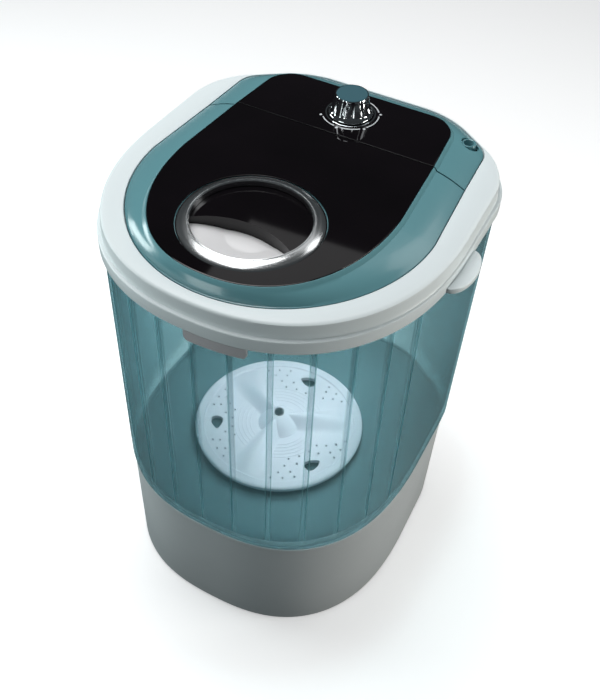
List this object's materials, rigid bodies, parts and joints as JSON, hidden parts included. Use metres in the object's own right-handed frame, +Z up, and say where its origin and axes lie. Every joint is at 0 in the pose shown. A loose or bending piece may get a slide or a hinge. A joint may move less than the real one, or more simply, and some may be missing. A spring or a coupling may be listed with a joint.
{
  "type": "top load washing machine",
  "caption": "Mini top-load washer: clear teal tub on a grey motor base, white collar, hinged lid, timer knob and belt-driven pulsator.",
  "frame": {"origin": "on the floor, under the middle of the machine's bounding box", "axes": "+Z up, front (the lid's round handle) towards -Y, +X to the right seen from the front"},
  "size_m": [0.4088, 0.4144, 0.573],
  "materials": {
    "grey_plastic": "fine moulded grain, satin",
    "dark_plastic": "moulded, matte",
    "white_plastic": "moulded, semi-gloss",
    "teal_plastic": "metallic teal paint, satin",
    "clear_teal_plastic": "translucent, glossy",
    "pale_plastic": "moulded, satin",
    "black_gloss": "high gloss",
    "satin_chrome": "satin chrome plating",
    "silver_plastic": "silver paint",
    "steel": "turned",
    "zinc_plate": "zinc plated",
    "bronze": "sintered",
    "rubber": "matte"
  },
  "bodies": {
    "root": {"badge": "silver_plastic", "base_shell": "grey_plastic", "bearing_housing": "zinc_plate", "bottom_cover": "dark_plastic", "capacitor": "dark_plastic", "capacitor_clamp": "steel", "control_box": "white_plastic", "control_deck": "teal_plastic", "cord_gland": "rubber", "cover_screw_1": "steel", "cover_screw_2": "steel", "cover_screw_3": "steel", "cover_screw_4": "steel", "deck_overlay": "black_gloss", "dial_ring": "satin_chrome", "drain_grille": "pale_plastic", "drain_pipe": "dark_plastic", "drive_belt": "rubber", "foot_1": "rubber", "foot_2": "rubber", "foot_3": "rubber", "foot_4": "rubber", "housing_screw_1": "steel", "housing_screw_2": "steel", "housing_screw_3": "steel", "inlet_port": "teal_plastic", "lower_bush": "bronze", "motor_bracket": "zinc_plate", "motor_end_bottom": "zinc_plate", "motor_end_top": "zinc_plate", "motor_stator": "zinc_plate", "shaft_seal": "rubber", "timer_body": "white_plastic", "timer_screw_left": "steel", "timer_screw_right": "steel", "top_collar": "white_plastic", "upper_bush": "bronze", "wash_tub": "clear_teal_plastic", "wire_harness": "rubber", "wiring_duct": "white_plastic"},
    "lid": {"lid_frame": "teal_plastic", "lid_panel": "black_gloss", "handle_ring": "satin_chrome", "handle_cup": "black_gloss", "handle_scoop": "satin_chrome", "lid_liner": "white_plastic", "hinge_pin_left": "steel", "hinge_pin_right": "steel"},
    "knob": {"timer_knob": "satin_chrome", "knob_cap": "satin_chrome", "timer_shaft": "steel"},
    "pulsator_drive": {"pulsator": "pale_plastic", "pulsator_screw": "steel", "pulsator_shaft": "steel", "circlip": "steel", "driven_pulley": "dark_plastic", "pulley_nut": "steel"},
    "rotor": {"motor_rotor": "steel", "motor_pulley": "zinc_plate", "motor_fan": "dark_plastic"}
  },
  "joints": [
    {"name": "lid_hinge", "type": "hinge", "parent": "root", "child": "lid", "pos_m": [0, 0.07165, 0.543], "axis": [-1, 0, 0], "range_deg": [0, 100]},
    {"name": "timer_turn", "type": "hinge", "parent": "root", "child": "knob", "pos_m": [0, 0.12475, 0.56], "axis": [0, 0, -1], "range_deg": [0, 300]},
    {"name": "pulsator_spin", "type": "hinge", "parent": "root", "child": "pulsator_drive", "pos_m": [0, -0.02125, 0.17], "axis": [0, 0, 1], "continuous": true},
    {"name": "rotor_spin", "type": "hinge", "parent": "root", "child": "rotor", "pos_m": [0, 0.06675, 0.07], "axis": [0, 0, 1], "continuous": true}
  ],
  "couplings": [
    {"joint": "rotor_spin", "follows": "pulsator_spin", "ratio": 3.0079}
  ]
}
